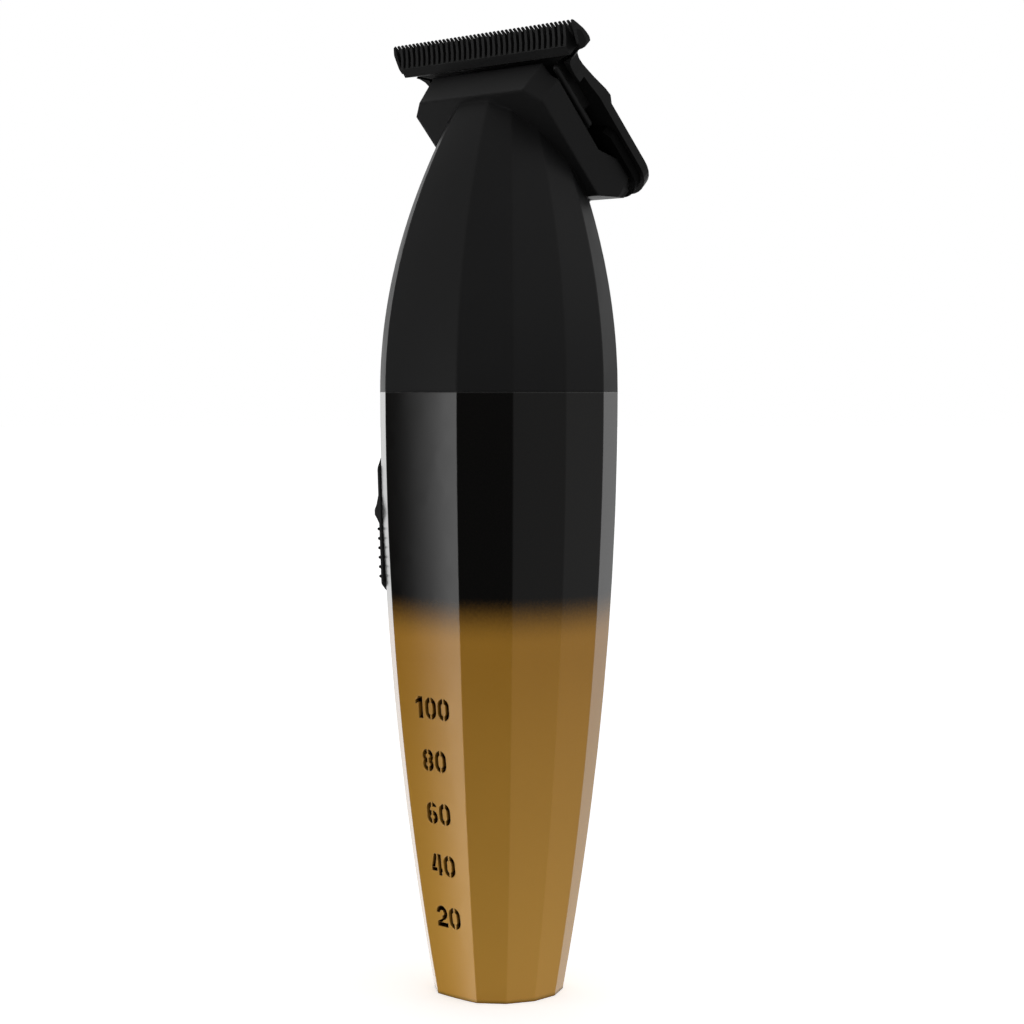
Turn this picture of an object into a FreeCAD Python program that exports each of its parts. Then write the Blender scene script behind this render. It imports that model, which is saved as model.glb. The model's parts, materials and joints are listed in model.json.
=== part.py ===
import FreeCAD, Part
import math
import os

# Cordless T-blade beard trimmer, built as separate pieces.
# Millimetres, +Z up along the body, origin at the centre of the flat foot,
# front (numeral facet, teeth side) towards -Y, blade width along X.

# ---- driving dimensions ----
SEAM_Z = 93.4            # joint between lower and head housing
SEAM_R = 18.5            # radius over the facet edges at the joint
LOWER_FALL = 138.6       # height scale of the lower taper
UPPER_FALL = 57.4        # height scale of the upper taper
UPPER_LEAN = 0.00074     # backward lean of the upper taper, per mm of height squared
WIDE_HALF = 24.5         # half angle of the wide front and back facets
NARROW_HALF = 13.1       # half angle of the ten narrow facets
EDGE_R = 0.35            # rounding of the facet edges
CROWN = 0.018            # bulge of the wide facets, as a share of the body radius
LOWER_WALL = 1.4
UPPER_WALL = 1.6

HEAD_TILT = 44.0         # blade plane, measured from the body axis
HEAD_Z = 92.9            # height where the blade frame meets the body axis
BLOCK_HALF = 14.2        # half width of the head block
RIM_N = 31.6             # face of the block that looks at the blade
PAD_N = 33.6             # face of the mounting pad

BLADE_IN = 35.2          # inner face of the comb blade plate
BLADE_T = 1.5            # thickness of that plate
TIP_S = 42.45            # tips of the comb teeth
BLADE_HALF = 19.65       # half width over the T
STEM_HALF = 15.95        # half width of the plate
PLATE_END = 9.8          # rounded end of the plate
COMB_TEETH = 46
COMB_PITCH = 0.84
CUTTER_HALF = 17.6
CUTTER_TEETH = 32
CUTTER_PITCH = 1.12
SLIDE_GAP = 0.05         # running gap between cutter and comb blade

THROW = 0.8              # offset of the cam pin, half the cutter stroke
SLIDER_ANGLE = -63.8     # facet that carries the thumb slider
SLIDER_Z = 74.9          # height where the slider path touches the facet
NUMERAL_Z = (45.6, 37.5, 29.3, 21.2, 13.0)
NUMERAL_X = 0.3
DIGIT_W = 2.3
DIGIT_H = 3.35
DIGIT_STEP = 2.68
STROKE = 0.7
BRIDGE = 0.3

CELL_R = 9.0             # 18500 size cell
CELL_Z0 = 24.0
CELL_L = 50.0
CELL_Y = 0.6
MOTOR_R = 10.0
MOTOR_Z1 = 106.0
SHAFT_R = 1.0

Z = FreeCAD.Vector(0, 0, 1)
X = FreeCAD.Vector(1, 0, 0)
ORIGIN = FreeCAD.Vector(0, 0, 0)

os.makedirs("parts", exist_ok=True)


def vec(x, y, z):
    return FreeCAD.Vector(x, y, z)


def save(node, pieces):
    """Write one node; loose pieces stay separate solids in a compound."""
    shape = pieces[0] if len(pieces) == 1 else Part.makeCompound(pieces)
    shape.exportStep("parts/" + node + ".step")


def box(x0, x1, y0, y1, z0, z1):
    return Part.makeBox(x1 - x0, y1 - y0, z1 - z0, vec(x0, y0, z0))


def rod(radius, x, y, z0, z1):
    return Part.makeCylinder(radius, z1 - z0, vec(x, y, z0), Z)


def tube(outer, inner, x, y, z0, z1):
    return rod(outer, x, y, z0, z1).cut(rod(inner, x, y, z0 - 1, z1 + 1))


def both_sides(solid):
    """The solid and its mirror image across the X = 0 plane."""
    return [solid, solid.mirror(ORIGIN, X)]


def to_head(shape):
    """Place a shape from the blade frame: y out of the blade, z to the teeth."""
    placed = shape.copy()
    placed.rotate(ORIGIN, X, HEAD_TILT)
    placed.translate(vec(0, 0, HEAD_Z))
    return placed


def from_head(shape):
    """Bring a body-frame shape into the blade frame."""
    placed = shape.copy()
    placed.translate(vec(0, 0, -HEAD_Z))
    placed.rotate(ORIGIN, X, -HEAD_TILT)
    return placed


# ---- faceted body ----
def facets():
    """Normal angle from the front and half angle of each facet, in order."""
    side = [WIDE_HALF + NARROW_HALF * (2 * i + 1) for i in range(5)]
    right = [(angle, NARROW_HALF) for angle in side]
    left = [(-angle, NARROW_HALF) for angle in reversed(side)]
    return [(0.0, WIDE_HALF)] + right + [(180.0, WIDE_HALF)] + left


def body_radius(z):
    fall = LOWER_FALL if z < SEAM_Z else UPPER_FALL
    return SEAM_R * (1 - ((z - SEAM_Z) / fall) ** 2)


def ring_corners(radius, inset):
    lines = []
    for angle, half in facets():
        turn = math.radians(angle)
        reach = radius * math.cos(math.radians(half)) - inset
        lines.append((math.sin(turn), -math.cos(turn), reach))
    corners = []
    for i, (a0, b0, c0) in enumerate(lines):
        a1, b1, c1 = lines[(i + 1) % len(lines)]
        det = a0 * b1 - a1 * b0
        corners.append(((c0 * b1 - c1 * b0) / det, (a0 * c1 - a1 * c0) / det))
    return corners


def ring_wire(z, inset):
    """Faceted outline at height z: rounded corners, crowned front and back."""
    radius = body_radius(z)
    lean = UPPER_LEAN * max(z - SEAM_Z, 0.0) ** 2
    corners = [vec(x, y + lean, z) for x, y in ring_corners(radius, inset)]
    count = len(corners)
    edges = []
    ends = []
    for i, corner in enumerate(corners):
        before = corners[i - 1] - corner
        after = corners[(i + 1) % count] - corner
        turn = math.pi - before.getAngle(after)
        trim = EDGE_R * math.tan(turn / 2)
        start = corner + before.normalize() * trim
        stop = corner + after.normalize() * trim
        middle = (before + after).normalize() * (EDGE_R / math.cos(turn / 2) - EDGE_R)
        ends.append((start, corner + middle, stop))
    for i, (start, middle, stop) in enumerate(ends):
        edges.append(Part.Arc(start, middle, stop).toShape())
        after = ends[(i + 1) % count][0]
        if abs(stop.x + after.x) < 0.01:
            bulge = vec(0, math.copysign(CROWN * radius, stop.y), 0)
            edges.append(Part.Arc(stop, (stop + after) / 2 + bulge, after).toShape())
        else:
            edges.append(Part.LineSegment(stop, after).toShape())
    return Part.Wire(edges)


def spindle(z0, z1, inset, steps):
    """Solid faceted body between two heights, shrunk by the inset."""
    heights = [z0 + (z1 - z0) * i / steps for i in range(steps + 1)]
    return Part.makeLoft([ring_wire(z, inset) for z in heights], True, False)


def prism_x(points, half):
    """Extrude a (y, z) outline symmetrically along X."""
    face = Part.Face(Part.makePolygon([vec(-half, y, z) for y, z in points + points[:1]]))
    return face.extrude(vec(2 * half, 0, 0))


def prism_z(points, z0, z1):
    """Extrude an (x, y) outline upwards."""
    face = Part.Face(Part.makePolygon([vec(x, y, z0) for x, y in points + points[:1]]))
    return face.extrude(vec(0, 0, z1 - z0))


def prism_y(points, y0, y1):
    """Extrude an (x, z) outline along Y."""
    face = Part.Face(Part.makePolygon([vec(x, y0, z) for x, z in points + points[:1]]))
    return face.extrude(vec(0, y1 - y0, 0))


def mirrored(points):
    """Close a right-hand (x, z) outline with its left-hand mirror."""
    return points + [(-x, z) for x, z in reversed(points)]


# ---- numerals ----
def stadium(w, h, x, z):
    """Rounded slug along Y, long enough to pass through the front wall."""
    r = min(w, h) / 2
    dx = w / 2 - r
    dz = h / 2 - r
    start = vec(x - dx, -20.0, z - dz)
    slug = Part.makeCylinder(r, 15.0, start, vec(0, 1, 0))
    if w > h:
        slug = slug.fuse(bar(x - dx, x + dx, z - r, z + r))
    if h > w:
        slug = slug.fuse(bar(x - r, x + r, z - dz, z + dz))
    stop = vec(x + dx, -20.0, z + dz)
    return slug.fuse(Part.makeCylinder(r, 15.0, stop, vec(0, 1, 0)))


def bar(x0, x1, z0, z1):
    return box(x0, x1, -20.0, -5.0, z0, z1)


def slug_ring(w, h, x, z):
    return stadium(w, h, x, z).cut(stadium(w - 2 * STROKE, h - 2 * STROKE, x, z))


def leaning(points):
    return prism_y(points, -20.0, -5.0)


def bridged(glyph, x, z):
    return glyph.cut(bar(x - BRIDGE / 2, x + BRIDGE / 2, z - DIGIT_H, z + DIGIT_H))


def digit_0(x, z):
    return bridged(slug_ring(DIGIT_W, DIGIT_H, x, z), x, z)


def digit_1(x, z):
    top = z + DIGIT_H / 2
    foot = z - DIGIT_H / 2
    flag = [(x + 0.1, top), (x - 0.8, top - 0.65), (x - 0.8, top - 1.25), (x + 0.1, top - 0.75)]
    flag = leaning(flag)
    return bar(x - 0.15, x + STROKE + 0.05, foot, top).fuse(flag)


def digit_2(x, z):
    half = DIGIT_W / 2
    foot = z - DIGIT_H / 2
    bowl = slug_ring(DIGIT_W, DIGIT_W, x, z + DIGIT_H / 2 - half)
    bowl = bowl.cut(bar(x - half, x, z - DIGIT_H, z + DIGIT_H / 2 - half))
    lean = [(x + 0.35, z - 0.2), (x + half, z + 0.45)]
    lean = leaning(lean + [(x - 0.15, foot + STROKE), (x - half, foot + STROKE)])
    return bowl.fuse(lean).fuse(bar(x - half, x + half, foot, foot + STROKE - 0.02))


def digit_4(x, z):
    half = DIGIT_W / 2
    top = z + DIGIT_H / 2
    foot = z - DIGIT_H / 2
    lean = leaning([(x - half, z - 0.45), (x - half + 0.72, z - 0.45), (x + 0.16, top), (x - 0.5, top)])
    cross = bar(x - half, x + half, z - 1.05, z - 0.5)
    post = bar(x + 0.28, x + 0.28 + STROKE, foot, top)
    return lean.fuse(cross).cut(bar(x + 0.0, x + 0.0 + BRIDGE, foot, top)).fuse(post)


def digit_6(x, z):
    half = DIGIT_W / 2
    bowl_h = DIGIT_H * 0.62
    bowl = slug_ring(DIGIT_W, bowl_h, x, z - (DIGIT_H - bowl_h) / 2)
    back = slug_ring(DIGIT_W, DIGIT_H, x, z).cut(bar(x, x + half, z - DIGIT_H / 2, z + 1.0))
    return bridged(bowl.fuse(back), x, z)


def digit_8(x, z):
    bowl_h = DIGIT_H / 2 + STROKE / 2
    rise = (DIGIT_H - bowl_h) / 2
    rings = slug_ring(DIGIT_W, bowl_h, x, z - rise).fuse(slug_ring(DIGIT_W, bowl_h, x, z + rise))
    return bridged(rings, x, z)


def numerals():
    """Cutters for the five charge marks, top to bottom."""
    tens = (digit_8, digit_6, digit_4, digit_2)
    cuts = [digit_1(NUMERAL_X - DIGIT_STEP + 0.2, NUMERAL_Z[0])]
    cuts.append(digit_0(NUMERAL_X, NUMERAL_Z[0]))
    cuts.append(digit_0(NUMERAL_X + DIGIT_STEP, NUMERAL_Z[0]))
    for first, z in zip(tens, NUMERAL_Z[1:]):
        cuts.append(first(NUMERAL_X - DIGIT_STEP / 2, z))
        cuts.append(digit_0(NUMERAL_X + DIGIT_STEP / 2, z))
    return cuts


# ---- thumb slider frame: x across the facet, y outwards, z up the facet ----
FACET_REACH = math.cos(math.radians(NARROW_HALF))
SLIDER_REACH = body_radius(SLIDER_Z) * FACET_REACH
SLIDER_SLOPE = 2 * SEAM_R * (SEAM_Z - SLIDER_Z) / LOWER_FALL ** 2 * FACET_REACH
SLIDER_LEAN = math.degrees(math.atan(SLIDER_SLOPE))


def to_facet(shape):
    """Place a slider-frame shape on its facet."""
    placed = shape.copy()
    placed.rotate(ORIGIN, X, -SLIDER_LEAN)
    placed.translate(vec(0, SLIDER_REACH, SLIDER_Z))
    placed.rotate(ORIGIN, Z, 180 + SLIDER_ANGLE)
    return placed


# ---- lower housing ----
SPIGOT_Z = 86.5
lower_cavity = spindle(-2.0, SEAM_Z + 2.0, LOWER_WALL, 8)
lower_skin = spindle(0.0, SEAM_Z, 0.0, 8)
slot = to_facet(box(-1.6, 1.6, -4.0, 2.0, -4.5, 4.5))
lower_housing = lower_skin.cut(lower_cavity).cut(slot)
for cut in numerals():
    lower_housing = lower_housing.cut(cut)
save("lower_housing", [lower_housing])


def plug(z0, z1, gap):
    """Slab that fills the lower housing's bore with the given gap."""
    inner = spindle(max(z0 - 2.0, -2.0), z1 + 2.0, LOWER_WALL + gap, 4)
    return inner.common(box(-30, 30, -30, 30, z0, z1))


# ---- foot: cap, screws, charging socket ----
BASE_SCREW_Y = 5.3
SCREW_R = 0.8
SOCKET_W = 8.94
SOCKET_D = 3.26


def rounded_slot(w, d, z0, z1):
    """Upright flat-oval prism, w along X and d along Y."""
    reach = (w - d) / 2
    core = box(-reach, reach, -d / 2, d / 2, z0, z1)
    return core.fuse(rod(d / 2, -reach, 0, z0, z1)).fuse(rod(d / 2, reach, 0, z0, z1))


base_cap = plug(0.0, 2.4, 0.04).cut(rounded_slot(SOCKET_W + 0.4, SOCKET_D + 0.4, -1, 3))
base_screws = []
for side in (-1, 1):
    y = side * BASE_SCREW_Y
    base_cap = base_cap.cut(rod(SCREW_R + 0.02, 0, y, -1, 3)).cut(rod(1.5, 0, y, -1, 1.2))
    head = rod(1.4, 0, y, 0.2, 1.2).cut(box(-0.25, 0.25, y - 0.9, y + 0.9, 0, 0.6))
    head = head.cut(box(-0.9, 0.9, y - 0.25, y + 0.25, 0, 0.6))
    base_screws.append(head.fuse(rod(SCREW_R, 0, y, 1.2, 6.5)))
save("base_cap", [base_cap])
save("base_screws", base_screws)

socket_bore = rounded_slot(SOCKET_W - 0.6, SOCKET_D - 0.6, 0.0, 7.4)
socket_shell = rounded_slot(SOCKET_W, SOCKET_D, 0.4, 8.2).cut(socket_bore)
tongue = box(-3.35, 3.35, -0.35, 0.35, 1.4, 7.6)
save("charge_socket", [socket_shell.fuse(tongue)])
socket_board = box(-5.6, 5.6, SOCKET_D / 2, SOCKET_D / 2 + 0.8, 2.6, 14.0)
save("socket_board", [socket_board])

# ---- charge level window behind the front facet ----


def front_shell(z0, z1, near, far, x0, x1):
    """Curved strip that follows the inside of the front facet."""
    outer = spindle(z0 - 2.0, z1 + 2.0, LOWER_WALL + near, 6)
    inner = spindle(z0 - 2.0, z1 + 2.0, LOWER_WALL + far, 6)
    return outer.cut(inner).common(box(x0, x1, -20, 0, z0, z1))


save("light_guide", [front_shell(10.4, 48.7, 0.04, 0.75, -4.2, 4.7)])
save("led_strip", [front_shell(10.4, 48.7, 1.45, 1.8, -3.4, 3.4)])
LED_X0 = NUMERAL_X - 1.5
LED_X1 = NUMERAL_X + 1.5
save("level_leds", [front_shell(z - 0.8, z + 0.8, 0.8, 1.45, LED_X0, LED_X1) for z in NUMERAL_Z])

# ---- inner frame ----
RAIL_Y0 = -0.8
RAIL_Y1 = 5.0
TOWER_X = 11.5
BOARD_Y = 10.4
BOARD_T = 1.0
BRACKET_Z = MOTOR_Z1
BRACKET_T = 2.4
seat = plug(20.0, 22.0, 0.3).cut(box(-30, 30, -30, -8.3, 19, 23)).cut(rod(3.0, 0, 0, 19, 23))
ring = plug(76.0, 79.0, 0.3).cut(rod(8.0, 0, 0, 75, 80))
ring = ring.cut(box(-7.05, 7.05, BOARD_Y - 0.05, BOARD_Y + BOARD_T + 2.2, 75, 80))
ring = ring.cut(to_facet(box(-4.2, 4.2, -8.6, 1.0, -10.0, 8.0)))
chassis = seat.fuse(ring)
for side in (-1, 1):
    post = rod(1.6, 0, side * BASE_SCREW_Y, 2.4, 20.5)
    chassis = chassis.fuse(post.cut(rod(SCREW_R + 0.02, 0, side * BASE_SCREW_Y, 2.0, 8.0)))
frame_rail = box(9.5, 11.3, RAIL_Y0, RAIL_Y1, 21.5, 77.0).common(plug(21.5, 77.0, 0.3))
tower = box(10.4, 12.6, RAIL_Y0, RAIL_Y1, 76.5, BRACKET_Z)
tower = tower.cut(rod(0.92, TOWER_X, 2.1, 98.0, BRACKET_Z + 1))
board_arm = box(9.5, 10.4, RAIL_Y1 - 0.1, BOARD_Y - 0.02, 50.0, 52.0)
board_arm = board_arm.fuse(box(5.5, 10.4, BOARD_Y - 0.9, BOARD_Y - 0.02, 50.0, 52.0))
side_frame = frame_rail.fuse(tower).fuse(board_arm)
for solid in both_sides(side_frame):
    chassis = chassis.fuse(solid)
chassis = chassis.fuse(to_facet(box(3.65, 4.6, -8.6, -6.4, -9.0, 1.0)))
chassis = chassis.fuse(to_facet(box(2.6, 4.6, -8.75, -8.22, -9.0, -6.5)))
save("chassis", [chassis.removeSplitter()])
BRACKET_TOP_Z = BRACKET_Z + BRACKET_T
chassis_screw = rod(1.7, TOWER_X, 2.1, BRACKET_TOP_Z, BRACKET_TOP_Z + 1.3)
screw_slot = box(TOWER_X - 0.3, TOWER_X + 0.3, 1.0, 3.2, BRACKET_TOP_Z + 0.6, 120)
chassis_screw = chassis_screw.cut(screw_slot).fuse(rod(0.9, TOWER_X, 2.1, 99.0, BRACKET_TOP_Z))
save("chassis_screws", both_sides(chassis_screw))

# ---- cell and board ----
CELL_Z1 = CELL_Z0 + CELL_L
TAB_T = 0.25
save("battery_cell", [rod(CELL_R, 0, CELL_Y, CELL_Z0, CELL_Z1)])
tabs = [box(-3, 3, -2, 6.5, z, z + TAB_T) for z in (CELL_Z0 - TAB_T, CELL_Z1)]
save("battery_tabs", tabs)
save("battery_pad", [rod(7.6, 0, CELL_Y, 22.0, CELL_Z0 - TAB_T)])
main_board = box(-7, 7, BOARD_Y, BOARD_Y + BOARD_T, 38.0, 78.0)
save("main_board", [main_board])
PART_Y = BOARD_Y + BOARD_T
board_parts = [box(-2.5, 2.5, PART_Y, PART_Y + 0.9, 60.0, 65.0)]
board_parts.append(box(-5.8, -1.8, PART_Y, PART_Y + 1.8, 52.0, 56.0))
board_parts.append(box(1.6, 5.6, PART_Y, PART_Y + 1.2, 51.5, 55.5))
board_parts.append(box(-6.0, -3.6, PART_Y, PART_Y + 0.7, 68.0, 71.0))
board_parts.append(box(3.4, 6.2, PART_Y, PART_Y + 1.0, 67.0, 72.0))
save("board_parts", board_parts)


def cable(points, radius):
    """Insulated lead through the given points."""
    stops = [vec(*p) for p in points]
    lead = Part.makeSphere(radius, stops[0])
    for start, stop in zip(stops, stops[1:]):
        run = stop - start
        lead = lead.fuse(Part.makeCylinder(radius, run.Length, start, run))
        lead = lead.fuse(Part.makeSphere(radius, stop))
    return lead


LEAD_R = 0.45
leads = [cable([(0, 4.5, 74.75), (0, 8.8, 74.75), (0, 9.9, 74.9)], LEAD_R)]
leads.append(cable([(3.4, 8.9, 23.1), (4.7, 9.7, 24.6), (4.7, 9.5, 37.0), (4.7, 9.9, 40.0)], LEAD_R))
for side in (-1, 1):
    run = [(side * 4.6, 9.9, 74.8), (side * 4.6, 5.4, 75.4), (side * 4.8, 4.5, 77.3)]
    leads.append(cable(run, LEAD_R))
save("power_leads", leads)

# ---- motor ----
MAGNET_R = 9.15
can_wall = tube(MOTOR_R, MAGNET_R + 0.03, 0, 0, 82.0, 104.8)
motor_can = can_wall.fuse(rod(MOTOR_R, 0, 0, 104.8, MOTOR_Z1)).cut(rod(2.47, 0, 0, 104, 107))
motor_screws = []
for side in (-1, 1):
    y = side * 6.0
    motor_can = motor_can.cut(rod(0.82, 0, y, 104, 107))
    head = rod(1.5, 0, y, BRACKET_TOP_Z, BRACKET_TOP_Z + 1.1)
    head = head.cut(box(-1, 1, y - 0.25, y + 0.25, BRACKET_TOP_Z + 0.5, 120))
    motor_screws.append(head.fuse(rod(SCREW_R, 0, y, 104.9, BRACKET_TOP_Z)))
save("motor_can", [motor_can])
save("motor_screws", motor_screws)


def arc_block(outer, inner, z0, z1, sweep, middle):
    """Part of a tube, sweep degrees wide, centred on the given angle."""
    solid = Part.makeCylinder(outer, z1 - z0, vec(0, 0, z0), Z, sweep)
    solid = solid.cut(rod(inner, 0, 0, z0 - 1, z1 + 1))
    solid.rotate(ORIGIN, Z, middle - sweep / 2)
    return solid


save("motor_magnets", [arc_block(MAGNET_R, 7.3, 86.0, 103.0, 130, a) for a in (0, 180)])
end_cap = rod(MOTOR_R - 0.05, 0, 0, 79.0, 82.0).cut(rod(2.47, 0, 0, 78, 83))
save("motor_end_cap", [end_cap])
terminal = box(4.2, 5.4, 4.2, 4.8, 77.8, 79.0)
save("motor_terminals", both_sides(terminal))
brush = box(2.25, 4.2, -0.9, 0.9, 83.5, 85.3).fuse(box(3.2, 4.2, -0.9, 0.9, 82.0, 85.3))
save("motor_brushes", both_sides(brush))
bushings = [tube(2.45, SHAFT_R + 0.03, 0, 0, z0, z1) for z0, z1 in ((79.2, 81.8), (104.2, 107.4))]
save("motor_bushings", bushings)

POLES = 3
CORE_Z0 = 88.0
CORE_Z1 = 101.0
core = tube(2.6, SHAFT_R, 0, 0, CORE_Z0, CORE_Z1)
windings = []
for i in range(POLES):
    angle = 360.0 / POLES * i
    neck = box(2.0, 5.8, -1.3, 1.3, CORE_Z0, CORE_Z1)
    coil = box(2.95, 5.05, -2.2, 2.2, CORE_Z0 - 1.0, CORE_Z1 + 1.0).cut(neck)
    neck.rotate(ORIGIN, Z, angle)
    coil.rotate(ORIGIN, Z, angle)
    core = core.fuse(neck).fuse(arc_block(6.9, 5.6, CORE_Z0, CORE_Z1, 96, angle))
    windings.append(coil)
save("rotor_core", [core.cut(rod(SHAFT_R, 0, 0, 80, 105))])
save("rotor_windings", windings)
save("commutator", [tube(2.2, SHAFT_R, 0, 0, 83.0, 86.2)])
save("motor_shaft", [rod(SHAFT_R, 0, 0, 79.4, 122.4)])

# ---- cam on the motor shaft ----
CAM_Z0 = 119.0
CAM_Z1 = 123.2
BEARING_R = 1.5
cam = rod(3.4, 0, 0, CAM_Z0, CAM_Z1).cut(rod(SHAFT_R, 0, 0, CAM_Z0 - 1, 122.4))
cam = cam.fuse(rod(SCREW_R, 0, -THROW, CAM_Z1, 130.0))
save("eccentric_cam", [cam])
save("cam_bearing", [tube(BEARING_R, SCREW_R, 0, -THROW, 125.0, 129.6)])

# ---- thumb slider ----
SLIDER_HALF = 2.6
SLIDER_UP = 9.0
SLIDER_DOWN = -13.0
UNDER = 0.14
DECK = 1.37
RIDGE_TOP = 1.9
RIDGES = 6
RIDGE_PITCH = 1.49
profile = [(UNDER, SLIDER_DOWN), (0.6, SLIDER_DOWN), (DECK, SLIDER_DOWN + 1.6), (DECK, -2.1)]
profile += [(1.9, -1.3), (2.43, -0.7), (2.43, 0.1), (1.9, 0.9), (DECK, 2.4)]
profile += [(DECK - 0.02, SLIDER_UP - 2.6), (0.75, SLIDER_UP - 0.3), (0.5, SLIDER_UP), (UNDER, SLIDER_UP)]
button = prism_x(profile, SLIDER_HALF)
outline = [(1.0, SLIDER_UP), (1.8, SLIDER_UP - 0.8), (SLIDER_HALF, SLIDER_UP - 3.0)]
outline += [(SLIDER_HALF, SLIDER_DOWN + 1.8), (1.8, SLIDER_DOWN + 0.5), (1.0, SLIDER_DOWN)]
button = button.common(prism_y(mirrored(outline), -1, 3))
dome = mirrored([(SLIDER_HALF, 0.0), (SLIDER_HALF, 0.9), (1.0, 2.7)])
button = button.common(prism_z(dome, SLIDER_DOWN, SLIDER_UP))
for i in range(RIDGES):
    z = -2.95 - RIDGE_PITCH * i
    ridge = [(DECK - 0.1, z - 0.42), (RIDGE_TOP, z - 0.15), (RIDGE_TOP, z + 0.15), (DECK - 0.1, z + 0.42)]
    button = button.fuse(prism_x(ridge, 1.6))
save("switch_button", [to_facet(button)])
STEM_Z0 = -4.0
STEM_Z1 = 0.0
stem = box(-1.2, 1.2, -2.0, UNDER, STEM_Z0, STEM_Z1)
stem = stem.fuse(box(-2.8, 2.8, -2.8, -1.85, -6.5, 2.5))
stem = stem.fuse(box(-1.9, 1.9, -4.2, -2.7, STEM_Z0, STEM_Z1))
stem = stem.cut(box(-0.8, 0.8, -5.0, -3.0, -2.9, -1.1))
save("switch_stem", [to_facet(stem)])
save("switch_knob", [to_facet(box(-0.8, 0.8, -6.2, -3.0, -2.9, -1.1))])
unit = box(-2.2, 2.2, -7.2, -4.6, -7.0, 4.0).cut(box(-1.1, 1.1, -6.5, -4.5, -3.3, 3.3))
save("switch_unit", [to_facet(unit)])
save("switch_board", [to_facet(box(-3.6, 3.6, -8.2, -7.2, -9.0, 3.5))])

# ---- blade set, in the blade frame ----
MOUTH_HALF = 8.6
MOUTH_S0 = 19.6
MOUTH_S1 = 34.2
BLADE_OUT = BLADE_IN + BLADE_T
CHEEK_X = 18.75
CHEEK_N = 33.9
RAIL_X = 14.4
ROOT_S = 39.7
END_R = 5.0


def rounded_end(half, end, radius, steps):
    """Right-hand (x, z) points of a rounded plate end, bottom first."""
    points = []
    for i in range(steps + 1):
        turn = math.radians(90.0 * i / steps)
        points.append((half - radius + radius * math.sin(turn), end + radius - radius * math.cos(turn)))
    return points


comb_side = [(BLADE_IN, PLATE_END), (BLADE_OUT, PLATE_END), (BLADE_OUT, 26.1), (37.4, 27.2)]
comb_side += [(36.3, 34.9), (36.1, 39.0), (35.45, TIP_S), (BLADE_IN, TIP_S)]
plate = rounded_end(STEM_HALF, PLATE_END, END_R, 8) + [(STEM_HALF, 28.5), (15.4, 31.3), (15.1, 33.8)]
plate += [(15.2, 35.2), (15.5, 36.1), (16.2, 36.8), (17.3, 37.3), (18.6, 37.6), (19.3, 38.0)]
plate += [(BLADE_HALF - 0.1, 38.6)]
plate += [(BLADE_HALF, 39.6), (BLADE_HALF, 40.4), (BLADE_HALF - 0.3, 41.6), (19.1, 42.3), (18.9, TIP_S)]
comb = prism_x(comb_side, BLADE_HALF).common(prism_y(mirrored(plate), 30, 40))
cheek = prism_x([(BLADE_IN, TIP_S), (CHEEK_N, 39.2), (CHEEK_N, 38.2), (BLADE_IN, 38.0)], BLADE_HALF)
taper = [(CHEEK_X - 1, 40), (BLADE_HALF, 40), (BLADE_HALF, 35.4), (19.1, 33.5), (CHEEK_X - 1, 33.5)]
cheek = cheek.cut(box(-BLADE_HALF - 1, CHEEK_X, 30, 40, 35, 45)).common(prism_z(taper, 30, 45))
rail = [(RAIL_X, 32.5), (RAIL_X, 36.3), (16.7, 37.12), (16.7, 32.5)]
cheek = cheek.fuse(prism_y(rail, CHEEK_N, BLADE_IN + 0.1))
cheek = cheek.common(prism_y(mirrored(plate), 30, 40))
for solid in both_sides(cheek):
    comb = comb.fuse(solid)
gaps = []
for i in range(COMB_TEETH - 1):
    x = (i - (COMB_TEETH - 2) / 2) * COMB_PITCH
    gaps.append(prism_y([(x - 0.17, ROOT_S), (x + 0.17, ROOT_S), (x + 0.28, 43), (x - 0.28, 43)], 30, 40))
comb = comb.cut(Part.makeCompound(gaps))
HOLE_X = 7.0
HOLE_S = 14.0
FIX_R = 1.25
for side in (-1, 1):
    comb = comb.cut(Part.makeCylinder(FIX_R + 0.02, 10, vec(side * HOLE_X, 30, HOLE_S), vec(0, 1, 0)))
save("fixed_blade", [to_head(comb)])

CUT_OUT = BLADE_IN - SLIDE_GAP
CUT_IN = 33.75
HEEL_S = 38.2
HEEL_HALF = 13.3
cutter_side = [(CUT_OUT, 23.7), (CUT_IN, 23.7), (CUT_IN, 37.4), (32.7, HEEL_S), (32.9, ROOT_S)]
cutter_side += [(33.9, 40.7), (34.9, 42.05), (CUT_OUT, 42.05)]
cutter_face = [(10.2, 23.7), (10.2, 26.8), (HEEL_HALF, 27.6), (HEEL_HALF, 36.6), (16.0, 37.6)]
cutter_face += [(CUTTER_HALF, HEEL_S), (CUTTER_HALF, 42.05)]
cutter = prism_x(cutter_side, CUTTER_HALF).common(prism_y(mirrored(cutter_face), 30, 40))
gaps = []
for i in range(CUTTER_TEETH - 1):
    x = (i - (CUTTER_TEETH - 2) / 2) * CUTTER_PITCH
    gaps.append(prism_y([(x - 0.27, ROOT_S), (x + 0.27, ROOT_S), (x + 0.34, 43), (x - 0.34, 43)], 30, 40))
cutter = cutter.cut(Part.makeCompound(gaps))
save("moving_blade", [to_head(cutter)])

ARM_HALF = 5.0
YOKE_IN = BEARING_R + 2 * THROW + 0.1
YOKE_OUT = 4.5
arm = box(-ARM_HALF, ARM_HALF, 30.4, CUT_IN, 26.0, 33.4)
prong = box(YOKE_IN, YOKE_OUT, -1.1, 2.6, 125.4, 146.0)
prong = from_head(prong).common(box(-30, 30, 0, 33.0, 0, 33.4))
for solid in both_sides(prong):
    arm = arm.fuse(solid)
save("drive_arm", [to_head(arm.removeSplitter())])

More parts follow.
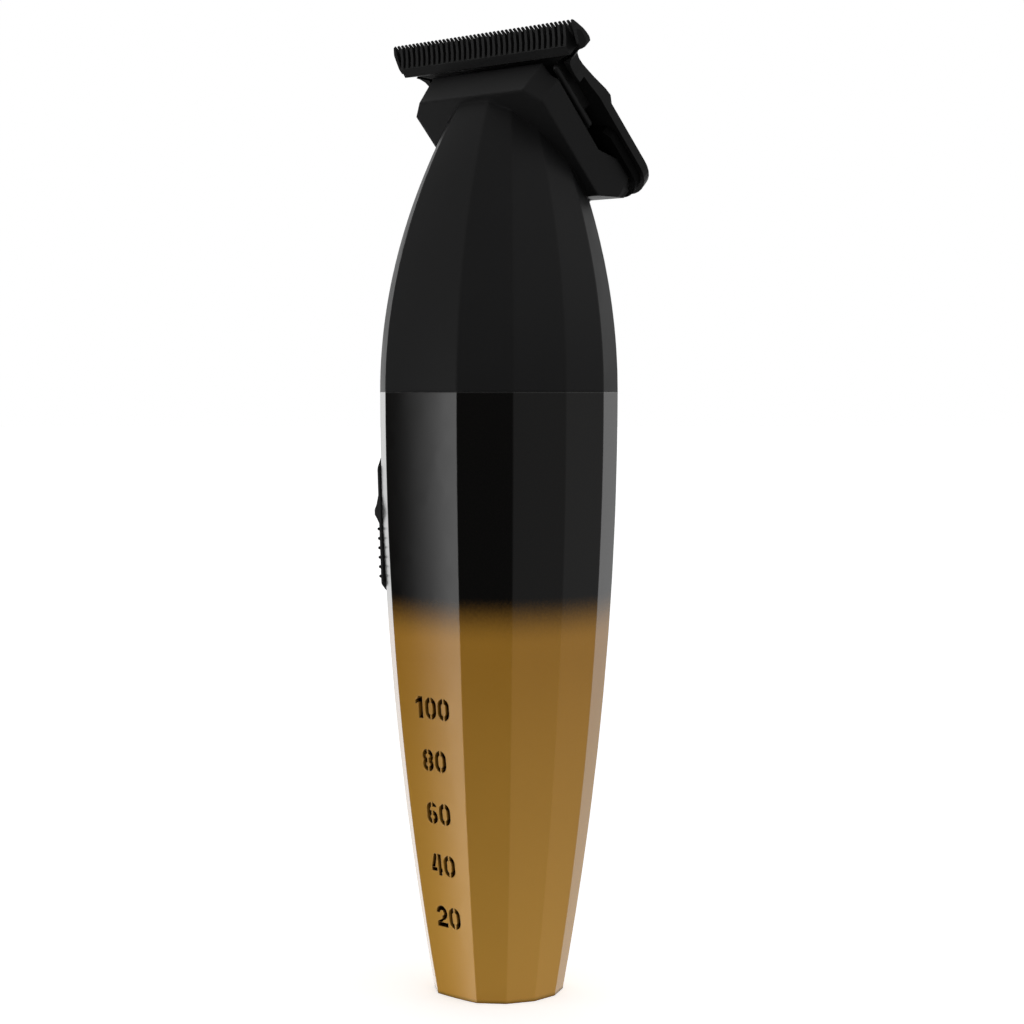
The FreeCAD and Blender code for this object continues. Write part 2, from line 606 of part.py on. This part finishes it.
BRACKET_TOP = 23.2
SPACER_HALF = 15.2
spacer = rounded_end(SPACER_HALF, PLATE_END + 0.7, END_R - 0.6, 8)
spacer += [(SPACER_HALF, BRACKET_TOP - 1.2), (SPACER_HALF - 0.9, BRACKET_TOP)]
spacer = prism_y(mirrored(spacer), PAD_N, BLADE_IN)
blade_screws = []
for side in (-1, 1):
    at = side * HOLE_X
    spacer = spacer.cut(Part.makeCylinder(FIX_R + 0.02, 9, vec(at, 30, HOLE_S), vec(0, 1, 0)))
    head = Part.makeCylinder(2.5, 1.2, vec(at, BLADE_OUT, HOLE_S), vec(0, 1, 0))
    head = head.cut(box(at - 1.7, at + 1.7, BLADE_OUT + 0.5, 40, HOLE_S - 0.3, HOLE_S + 0.3))
    head = head.cut(box(at - 0.3, at + 0.3, BLADE_OUT + 0.5, 40, HOLE_S - 1.7, HOLE_S + 1.7))
    shank = Part.makeCylinder(FIX_R, 7.0, vec(at, BLADE_OUT - 7.0, HOLE_S), vec(0, 1, 0))
    blade_screws.append(to_head(head.fuse(shank)))
save("blade_bracket", [to_head(spacer)])
save("blade_screws", blade_screws)

WIRE_R = 0.5
LEG_X = 13.2
FOOT_X = 7.2
LEG_N = CUT_IN - 0.15 - WIRE_R
leg = [(LEG_X, LEG_N, 36.0), (LEG_X, LEG_N, 25.5), (FOOT_X, 32.4, 22.0), (FOOT_X, 32.0, 17.0)]
spring = cable(leg, WIRE_R)
spring = spring.fuse(cable([(-x, n, s) for x, n, s in leg], WIRE_R))
spring = spring.fuse(cable([(-FOOT_X, 32.4, 22.0), (FOOT_X, 32.4, 22.0)], WIRE_R))
save("tension_spring", [to_head(spring)])

# ---- head housing ----
BLOCK_BACK = 27.0


def block_ring(n, half, top):
    """Outline of the head block across its depth, with cut-off upper corners."""
    corners = mirrored([(half, 5.0), (half, top - 2.5), (half - 2.5, top)])
    loop = [vec(x, n, s) for x, s in corners]
    return Part.makePolygon(loop + [loop[0]])


rings = [block_ring(BLOCK_BACK, BLOCK_HALF - 0.7, 37.0), block_ring(PAD_N, BLOCK_HALF, 37.6)]
block = Part.makeLoft(rings, True, True)
side_view = [(20.0, 40.0), (32.6, 40.0), (32.6, 37.4), (RIM_N, 35.9), (RIM_N - 0.2, 21.7)]
side_view += [(PAD_N, 17.9), (PAD_N, 13.3), (33.0, 12.2), (31.3, 12.2), (20.0, 23.1)]
pad_view = [(13.4, 5.0), (13.4, 12.6), (BLOCK_HALF, 14.2), (BLOCK_HALF, 40.0)]
block = block.common(prism_x(side_view, BLOCK_HALF)).common(prism_y(mirrored(pad_view), 20, 40))
neck = from_head(spindle(SEAM_Z, 140.0, 0.0, 7)).common(box(-30, 30, -90, RIM_N - 0.3, -90, 36.6))
skin = neck.fuse(block)
bore = from_head(spindle(SEAM_Z - 2.0, 128.0, UPPER_WALL, 6))
throat = from_head(box(-5.7, 5.7, -3.2, 6.6, 124.0, 150.0)).common(box(-30, 30, 0, 31.5, 0, MOUTH_S1))
mouth = box(-MOUTH_HALF, MOUTH_HALF, 27.5, 40.0, MOUTH_S0, MOUTH_S1)
skin = skin.cut(bore).cut(throat).cut(mouth).cut(spring)
for side in (-1, 1):
    skin = skin.cut(Part.makeCylinder(FIX_R + 0.02, 9, vec(side * HOLE_X, 29, HOLE_S), vec(0, 1, 0)))
head_housing = to_head(skin)


def faceted_ring(z0, z1, outer, inner):
    """Ring between two insets of the body outline."""
    big = spindle(z0 - 1.0, z1 + 1.0, outer, 3)
    small = spindle(z0 - 1.0, z1 + 1.0, inner, 3)
    return big.cut(small).common(box(-30, 30, -30, 30, z0, z1))


SEAL_Z0 = 89.4
SEAL_Z1 = 90.6
spigot = faceted_ring(SPIGOT_Z, SEAM_Z + 1.0, LOWER_WALL + 0.04, 3.0)
spigot = spigot.cut(faceted_ring(SEAL_Z0, SEAL_Z1, LOWER_WALL, LOWER_WALL + 0.65))
spigot = spigot.cut(to_facet(box(-4.2, 4.2, -8.6, 1.0, 0.0, 14.5)))
head_housing = head_housing.fuse(spigot).cut(spindle(SEAM_Z - 0.01, SEAM_Z + 3.0, 3.0, 2))
save("head_housing", [head_housing])
save("body_seal", [faceted_ring(SEAL_Z0, SEAL_Z1, LOWER_WALL + 0.01, LOWER_WALL + 0.65)])

# ---- motor bracket fills the head housing's bore above the motor ----
bracket = spindle(BRACKET_Z - 1, BRACKET_Z + BRACKET_T + 1, UPPER_WALL + 0.04, 3)
bracket = bracket.common(box(-30, 30, -30, 30, BRACKET_Z, BRACKET_Z + BRACKET_T))
bracket = bracket.cut(rod(2.6, 0, 0, 100, 112))
for side in (-1, 1):
    bracket = bracket.cut(rod(SCREW_R + 0.02, 0, side * 6.0, 100, 112))
    bracket = bracket.cut(rod(0.92, side * TOWER_X, 2.1, 100, 112))
save("motor_bracket", [bracket])
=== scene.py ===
import json
import math

import bpy
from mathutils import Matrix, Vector

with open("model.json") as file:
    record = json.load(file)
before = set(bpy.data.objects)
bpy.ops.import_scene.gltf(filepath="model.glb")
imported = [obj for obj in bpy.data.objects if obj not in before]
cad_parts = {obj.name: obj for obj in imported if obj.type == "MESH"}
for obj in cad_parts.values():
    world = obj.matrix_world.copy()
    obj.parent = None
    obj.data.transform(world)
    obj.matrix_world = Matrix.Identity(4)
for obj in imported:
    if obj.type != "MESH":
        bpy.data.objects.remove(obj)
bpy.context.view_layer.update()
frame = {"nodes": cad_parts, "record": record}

MM = 0.001
SCENE = bpy.context.scene
PAINT_DARK = (0.0142, 0.0142, 0.0145, 1)
PAINT_LIGHT = (0.0174, 0.0174, 0.0176, 1)
DEEP_GOLD = (0.53, 0.252, 0.026, 1)
WARM_GOLD = (0.59, 0.286, 0.033, 1)
PALE_GOLD = (0.90, 0.480, 0.080, 1)
FLAKE_GOLD = (0.95, 0.66, 0.26, 1)
LACQUER_BLACK = (0.0016, 0.0012, 0.0008, 1)
# Painted shade: brown-black laid into the creases and cut-outs of the lacquer.
RECESS_SHADE_BROWN = (0.030, 0.010, 0.003, 1)
GOLD_STARTS = 0.0634     # height above the foot where the black begins to fade
GOLD_FULL = 0.0560


# ---------------------------------------------------------------- node helpers
class Graph:
    """Short hand for building one material's node tree."""

    def __init__(self, name):
        self.material = bpy.data.materials.new(name)
        self.material.use_nodes = True
        self.tree = self.material.node_tree
        self.shader = self.tree.nodes["Principled BSDF"]
        self.coords = self.add("ShaderNodeTexCoord").outputs["Object"]

    def add(self, kind, **settings):
        node = self.tree.nodes.new(kind)
        for key, value in settings.items():
            setattr(node, key, value)
        return node

    def link(self, source, target):
        self.tree.links.new(source, target)

    def feed(self, socket, value):
        """Connect a socket, or set it when the value is a plain number or colour."""
        if isinstance(value, bpy.types.NodeSocket):
            self.link(value, socket)
        else:
            socket.default_value = value

    def math(self, operation, a, b=0.0, clamp=False):
        node = self.add("ShaderNodeMath", operation=operation, use_clamp=clamp)
        self.feed(node.inputs[0], a)
        self.feed(node.inputs[1], b)
        return node.outputs[0]

    def noise(self, scale, detail=2.0, rough=0.5, vector=None):
        node = self.add("ShaderNodeTexNoise")
        node.inputs["Scale"].default_value = scale
        node.inputs["Detail"].default_value = detail
        node.inputs["Roughness"].default_value = rough
        self.link(vector or self.coords, node.inputs["Vector"])
        return node.outputs["Fac"]

    def stretched(self, sx, sy, sz):
        node = self.add("ShaderNodeMapping")
        node.inputs["Scale"].default_value = (sx, sy, sz)
        self.link(self.coords, node.inputs["Vector"])
        return node.outputs["Vector"]

    def ramp(self, factor, low, high, out_low=0.0, out_high=1.0, smooth=True):
        node = self.add("ShaderNodeMapRange")
        node.interpolation_type = "SMOOTHSTEP" if smooth else "LINEAR"
        for socket, value in zip(("From Min", "From Max", "To Min", "To Max"),
                                 (low, high, out_low, out_high)):
            node.inputs[socket].default_value = value
        self.feed(node.inputs["Value"], factor)
        return node.outputs["Result"]

    def blend(self, factor, first, second):
        node = self.add("ShaderNodeMix", data_type="RGBA")
        self.feed(node.inputs["Factor"], factor)
        self.feed(node.inputs["A"], first)
        self.feed(node.inputs["B"], second)
        return node.outputs["Result"]

    def soft_edges(self, radius):
        node = self.add("ShaderNodeBevel", samples=4)
        node.inputs["Radius"].default_value = radius
        return node.outputs["Normal"]

    def openness(self, reach):
        """1 on open faces, falling towards 0 in creases and gaps."""
        node = self.add("ShaderNodeAmbientOcclusion", samples=8)
        node.inputs["Distance"].default_value = reach
        return node.outputs["AO"]

    def edge_mask(self, radius):
        """1 on sharp edges, 0 on open faces."""
        dot = self.add("ShaderNodeVectorMath", operation="DOT_PRODUCT")
        self.link(self.soft_edges(radius), dot.inputs[0])
        self.link(self.add("ShaderNodeNewGeometry").outputs["Normal"], dot.inputs[1])
        return self.ramp(dot.outputs["Value"], 0.995, 0.90)

    def bump(self, height, strength, distance, normal=None):
        node = self.add("ShaderNodeBump")
        node.inputs["Strength"].default_value = strength
        node.inputs["Distance"].default_value = distance
        self.link(height, node.inputs["Height"])
        if normal is not None:
            self.link(normal, node.inputs["Normal"])
        return node.outputs["Normal"]

    def set(self, **values):
        """Feed shader inputs, named with _ for a space, and return the material."""
        for key, value in values.items():
            self.feed(self.shader.inputs[key.replace("_", " ")], value)
        return self.material


def grey(value):
    return (value, value, value, 1.0)


# ------------------------------------------------------------------- materials
def matte_paint():
    """Fine textured black powder coat, with painted shade darkening the creases."""
    g = Graph("matte_black_paint")
    cloud = g.noise(90.0, 3.0)
    grain = g.noise(9000.0, 2.0)
    wear = g.edge_mask(0.5 * MM)
    body = g.blend(cloud, PAINT_DARK, PAINT_LIGHT)
    tint = g.blend(g.math("MULTIPLY", wear, 0.25), body, grey(0.035))
    # Painted shade: ambient occlusion darkens the paint to grey 0.011 and lowers its gloss in
    # creases and gaps.
    unshaded_open = g.ramp(g.openness(1.5 * MM), 0.15, 0.75)
    tint = g.blend(unshaded_open, grey(0.011), tint)
    gloss = g.ramp(unshaded_open, 0.0, 1.0, 0.05, 0.10)
    rough = g.ramp(cloud, 0.3, 0.7, 0.40, 0.46)
    normal = g.bump(grain, 0.10, 0.02 * MM, g.soft_edges(0.6 * MM))
    return g.set(Base_Color=tint, Roughness=rough, Specular_IOR_Level=gloss, Normal=normal)


def fade_lacquer():
    """Clear gloss over black that fades to gold down the body."""
    g = Graph("black_to_gold_lacquer")
    split = g.add("ShaderNodeSeparateXYZ")
    g.link(g.coords, split.inputs[0])
    height = split.outputs["Z"]
    mist = g.noise(2600.0, 1.0)
    # The height plus up to 0.8 mm of noise, so that the fade looks sprayed.
    edge = g.math("MULTIPLY_ADD", mist, 0.0008)
    g.link(height, edge.node.inputs[2])
    gold = g.ramp(edge, GOLD_STARTS, GOLD_FULL)
    cloud = g.noise(60.0, 3.0)
    flake = g.noise(14000.0, 2.0)
    deep = g.blend(cloud, DEEP_GOLD, WARM_GOLD)
    bright = g.blend(g.ramp(height, 0.053, 0.0, smooth=False), deep, PALE_GOLD)
    sparkle = g.blend(g.ramp(flake, 0.62, 0.75, 0.0, 0.22), bright, FLAKE_GOLD)
    tint = g.blend(gold, LACQUER_BLACK, sparkle)
    # Painted shade: ambient occlusion darkens the lacquer to brown-black and removes its coat in
    # creases and cut-outs.
    unshaded_open = g.ramp(g.openness(1.2 * MM), 0.25, 0.75)
    tint = g.blend(unshaded_open, RECESS_SHADE_BROWN, tint)
    metal = g.math("MULTIPLY", gold, 0.25)
    rough = g.ramp(cloud, 0.3, 0.7, 0.42, 0.50)
    normal = g.bump(flake, 0.05, 0.01 * MM, g.soft_edges(0.25 * MM))
    coat = g.bump(g.noise(420.0, 2.0), 0.02, 0.02 * MM, g.soft_edges(0.25 * MM))
    return g.set(Base_Color=tint, Metallic=metal, Roughness=rough, Normal=normal,
                 Specular_IOR_Level=0.0, Coat_Weight=unshaded_open, Coat_Roughness=0.14,
                 Coat_Normal=coat)


def coated_steel(name, shade, rough_low, rough_high, grind=(60.0, 9000.0, 9000.0)):
    """Black coated steel with grinding lines along X."""
    g = Graph(name)
    lines = g.noise(1.0, 3.0, 0.6, g.stretched(*grind))
    wear = g.edge_mask(0.12 * MM)
    body = g.blend(lines, grey(shade * 0.85), grey(shade * 1.15))
    tint = g.blend(g.math("MULTIPLY", wear, 0.3), body, grey(0.10))
    rough = g.ramp(lines, 0.3, 0.7, rough_low, rough_high)
    normal = g.bump(lines, 0.12, 0.01 * MM, g.soft_edges(0.12 * MM))
    return g.set(Base_Color=tint, Metallic=0.5, Roughness=rough, Normal=normal,
                 Specular_IOR_Level=0.12)


def bare_steel(name, shade, rough_mid, spread=8000.0):
    """Plated or ground steel with fine lines and rubbed edges."""
    g = Graph(name)
    lines = g.noise(1.0, 3.0, 0.6, g.stretched(spread, 300.0, 300.0))
    wear = g.edge_mask(0.15 * MM)
    body = g.blend(lines, grey(shade * 0.9), grey(shade * 1.05))
    tint = g.blend(g.math("MULTIPLY", wear, 0.4), body, grey(0.85))
    rough = g.ramp(lines, 0.3, 0.7, rough_mid - 0.06, rough_mid + 0.08)
    normal = g.bump(lines, 0.1, 0.01 * MM, g.soft_edges(0.1 * MM))
    return g.set(Base_Color=tint, Metallic=1.0, Roughness=rough, Normal=normal)


def moulded(name, colour, rough_mid=0.45, grain_scale=5000.0, grain=0.12, gloss=0.5):
    """Injection moulded plastic with a fine spark-eroded grain."""
    g = Graph(name)
    cloud = g.noise(150.0, 2.0)
    fine = g.noise(grain_scale, 2.0)
    wear = g.edge_mask(0.2 * MM)
    dark = tuple(c * 0.88 for c in colour) + (1.0,)
    light = tuple(min(1.0, c * 1.12) for c in colour) + (1.0,)
    rubbed = tuple(min(1.0, c * 1.5 + 0.03) for c in colour) + (1.0,)
    tint = g.blend(g.math("MULTIPLY", wear, 0.4 * gloss), g.blend(cloud, dark, light), rubbed)
    rough = g.ramp(fine, 0.3, 0.7, rough_mid - 0.05, rough_mid + 0.06)
    normal = g.bump(fine, grain, 0.03 * MM, g.soft_edges(0.2 * MM))
    return g.set(Base_Color=tint, Roughness=rough, Normal=normal, Specular_IOR_Level=gloss)


def coloured_metal(name, colour, rough_mid):
    """Bronze, copper or ferrite with a slightly uneven tone."""
    g = Graph(name)
    cloud = g.noise(400.0, 3.0)
    light = tuple(min(1.0, c * 1.25) for c in colour) + (1.0,)
    tint = g.blend(cloud, colour + (1.0,), light)
    rough = g.ramp(cloud, 0.3, 0.7, rough_mid - 0.05, rough_mid + 0.1)
    normal = g.bump(g.noise(7000.0), 0.1, 0.01 * MM, g.soft_edges(0.1 * MM))
    return g.set(Base_Color=tint, Metallic=1.0, Roughness=rough, Normal=normal)


def laminate():
    """Circuit board: solder mask over a faint track pattern."""
    g = Graph("board_laminate")
    cells = g.add("ShaderNodeTexVoronoi", feature="DISTANCE_TO_EDGE")
    cells.inputs["Scale"].default_value = 700.0
    g.link(g.coords, cells.inputs["Vector"])
    track = g.ramp(cells.outputs["Distance"], 0.03, 0.06, 1.0, 0.0)
    tint = g.blend(track, (0.012, 0.10, 0.035, 1), (0.03, 0.20, 0.07, 1))
    normal = g.bump(track, 0.2, 0.03 * MM, g.soft_edges(0.1 * MM))
    rough = g.ramp(g.noise(900.0), 0.3, 0.7, 0.30, 0.42)
    return g.set(Base_Color=tint, Roughness=rough, Normal=normal)


SLOT_MATERIALS = {
    "matte_black_metal": matte_paint(),
    "gradient_metal": fade_lacquer(),
    "blade_black": coated_steel("comb_blade_steel", 0.017, 0.36, 0.46),
    "cutter_dark": coated_steel("cutter_steel", 0.021, 0.34, 0.44),
    "blade_screw_black": coated_steel("screw_black_oxide", 0.020, 0.32, 0.42, (4000.0,) * 3),
    # Painted shade: the black plastic bracket is made near-black with almost no gloss so it
    # reads as the deep shadow under the blade.
    "bracket_black": moulded("bracket_shade_black", (0.003, 0.003, 0.003), 0.70, gloss=0.06),
    "black_plastic": moulded("black_plastic", (0.015, 0.015, 0.016), 0.50),
    "slider_black": moulded("slider_plastic", (0.004, 0.004, 0.0042), 0.45, 6000.0, 0.08, 0.12),
    "frame_plastic": moulded("frame_plastic", (0.06, 0.06, 0.065), 0.5),
    "seal_rubber": moulded("seal_rubber", (0.02, 0.02, 0.02), 0.75, 3000.0, 0.2),
    "component_black": moulded("component_black", (0.012, 0.012, 0.012), 0.5),
    "flex_amber": moulded("flex_amber", (0.42, 0.20, 0.04), 0.35),
    "led_lens": moulded("led_lens", (0.80, 0.76, 0.62), 0.2),
    "smoked_window": moulded("smoked_window", (0.018, 0.007, 0.004), 0.30, 3000.0, 0.03, 0.15),
    "cell_jacket": moulded("cell_jacket", (0.03, 0.12, 0.38), 0.3, 900.0, 0.05),
    "lead_red": moulded("lead_red", (0.45, 0.02, 0.02), 0.45),
    "cam_plastic": moulded("acetal_white", (0.70, 0.70, 0.66), 0.35),
    "screw_steel": bare_steel("screw_steel", 0.55, 0.3),
    "contact_metal": bare_steel("contact_nickel", 0.68, 0.25),
    "socket_shell": bare_steel("socket_shell", 0.58, 0.3),
    "motor_steel": bare_steel("motor_steel", 0.55, 0.32),
    "core_steel": bare_steel("core_steel", 0.33, 0.45),
    "spring_steel": coated_steel("spring_steel", 0.030, 0.32, 0.42),
    "magnet_grey": coloured_metal("magnet_ferrite", (0.10, 0.10, 0.11), 0.6),
    "bushing_brass": coloured_metal("bushing_bronze", (0.50, 0.32, 0.12), 0.35),
    "winding_copper": coloured_metal("winding_copper", (0.50, 0.18, 0.07), 0.35),
    "board_laminate": laminate(),
}

for part in frame["record"]["subparts"]:
    node = frame["nodes"][part["node"]]
    material = SLOT_MATERIALS[part["material_slot"]]
    if not node.material_slots:
        node.data.materials.append(material)
    for held in node.material_slots:
        held.material = material


# ------------------------------------------------------------ floor and studio
FLOOR_RADIUS = 6.0
FLOOR_BOUNCE = 0.62
FLOOR_GLOW = 0.55


def floor():
    """Pale disc that is white to the camera and grey to the light it bounces."""
    bpy.ops.mesh.primitive_circle_add(vertices=96, radius=FLOOR_RADIUS, fill_type="NGON")
    disc = bpy.context.object
    disc.name = "studio_floor"
    g = Graph("studio_floor")
    cloud = g.noise(3.0, 2.0)
    pale = g.blend(cloud, grey(0.93), grey(0.95))
    g.set(Base_Color=pale, Roughness=0.9, Specular_IOR_Level=0.0,
          Emission_Color=pale, Emission_Strength=FLOOR_GLOW)
    path = g.add("ShaderNodeLightPath")
    bounce = g.add("ShaderNodeBsdfDiffuse")
    bounce.inputs["Color"].default_value = grey(FLOOR_BOUNCE)
    unseen = g.add("ShaderNodeMixShader")
    g.link(path.outputs["Is Glossy Ray"], unseen.inputs[0])
    g.link(bounce.outputs[0], unseen.inputs[1])
    g.link(g.add("ShaderNodeBsdfTransparent").outputs[0], unseen.inputs[2])
    mix = g.add("ShaderNodeMixShader")
    g.link(path.outputs["Is Camera Ray"], mix.inputs[0])
    g.link(unseen.outputs[0], mix.inputs[1])
    g.link(g.shader.outputs[0], mix.inputs[2])
    g.link(mix.outputs[0], g.tree.nodes["Material Output"].inputs["Surface"])
    disc.data.materials.append(g.material)


floor()

# Brightness of the studio by direction: degrees from the front facet, level.
LOW_RING = [(-180, 0.28), (-165, 0.64), (-150, 1.05), (-110, 1.16), (-84, 0.50), (-66, 0.02),
            (-56, 0.03), (-50, 0.22), (-43, 0.95), (-36, 2.30), (-28, 2.60), (-14, 0.30),
            (2, 0.06), (40, 0.07), (66, 0.20), (90, 0.30), (140, 0.32), (162, 0.28), (180, 0.28)]
HIGH_RING = [(-180, 0.55), (-130, 0.9), (-90, 0.7), (-62, 0.25), (-44, 0.60), (-32, 1.0),
             (-14, 0.6), (10, 0.38), (45, 0.45), (75, 0.71), (110, 0.84), (150, 0.68),
             (180, 0.55)]
RING_RISE = (3.0, 13.0)  # degrees above level between which the rings blend
PEAK = 2.6               # highest ring level, because a ramp only holds 0 to 1
BACKDROP = 1.0           # what the camera sees behind the object


def studio():
    """Soft light from two rings around the object; the camera sees plain white."""
    world = bpy.data.worlds.new("studio")
    SCENE.world = world
    world.use_nodes = True
    tree = world.node_tree
    back = tree.nodes["Background"]

    def add(kind, **settings):
        node = tree.nodes.new(kind)
        for key, value in settings.items():
            setattr(node, key, value)
        return node

    def ring(levels, turn):
        """Brightness ramp around the vertical axis."""
        node = add("ShaderNodeValToRGB")
        stops = node.color_ramp.elements
        while len(stops) > 1:
            stops.remove(stops[-1])
        for i, (degrees, level) in enumerate(levels):
            spot = (degrees + 180) / 360
            stop = stops[0] if i == 0 else stops.new(spot)
            stop.position = spot
            stop.color = grey(level / PEAK)
        tree.links.new(turn, node.inputs["Fac"])
        return node.outputs["Color"]

    coords = add("ShaderNodeTexCoord")
    split = add("ShaderNodeSeparateXYZ")
    tree.links.new(coords.outputs["Generated"], split.inputs[0])
    flip = add("ShaderNodeMath", operation="MULTIPLY")
    tree.links.new(split.outputs["Y"], flip.inputs[0])
    flip.inputs[1].default_value = -1.0
    angle = add("ShaderNodeMath", operation="ARCTAN2")
    tree.links.new(split.outputs["X"], angle.inputs[0])
    tree.links.new(flip.outputs[0], angle.inputs[1])
    turn = add("ShaderNodeMapRange")
    turn.inputs["From Min"].default_value = -math.pi
    turn.inputs["From Max"].default_value = math.pi
    tree.links.new(angle.outputs[0], turn.inputs["Value"])
    lift = add("ShaderNodeMapRange", interpolation_type="SMOOTHSTEP")
    lift.inputs["From Min"].default_value = math.sin(math.radians(RING_RISE[0]))
    lift.inputs["From Max"].default_value = math.sin(math.radians(RING_RISE[1]))
    tree.links.new(split.outputs["Z"], lift.inputs["Value"])
    mix = add("ShaderNodeMix", data_type="RGBA")
    tree.links.new(lift.outputs["Result"], mix.inputs["Factor"])
    tree.links.new(ring(LOW_RING, turn.outputs["Result"]), mix.inputs["A"])
    tree.links.new(ring(HIGH_RING, turn.outputs["Result"]), mix.inputs["B"])
    path = add("ShaderNodeLightPath")
    seen = add("ShaderNodeMix", data_type="RGBA")
    tree.links.new(path.outputs["Is Camera Ray"], seen.inputs["Factor"])
    tree.links.new(mix.outputs["Result"], seen.inputs["A"])
    seen.inputs["B"].default_value = grey(BACKDROP / PEAK)
    tree.links.new(seen.outputs["Result"], back.inputs["Color"])
    back.inputs["Strength"].default_value = PEAK


studio()
SCENE.view_settings.view_transform = "Standard"

# ---------------------------------------------------------------------- camera
AZIMUTH = 44.0
DISTANCE = 0.3495
EYE_HEIGHT = 0.0931
PITCH = 3.0
YAW = 0.344
FOCAL_PX = 2250.0
IMAGE_PX = 1024.0
SENSOR_MM = 36.0


def camera():
    """Camera placed as for the photo: well round to the +X side, above mid height."""
    data = bpy.data.cameras.new("camera")
    data.sensor_width = SENSOR_MM
    data.lens = FOCAL_PX / IMAGE_PX * data.sensor_width
    data.clip_start = 0.01
    data.clip_end = 100.0
    cam = bpy.data.objects.new("camera", data)
    SCENE.collection.objects.link(cam)
    a = math.radians(AZIMUTH)
    cam.location = Vector((math.sin(a) * DISTANCE, -math.cos(a) * DISTANCE, EYE_HEIGHT))
    cam.rotation_euler = (math.radians(90 - PITCH), 0.0, math.radians(AZIMUTH - YAW))
    SCENE.camera = cam


camera()
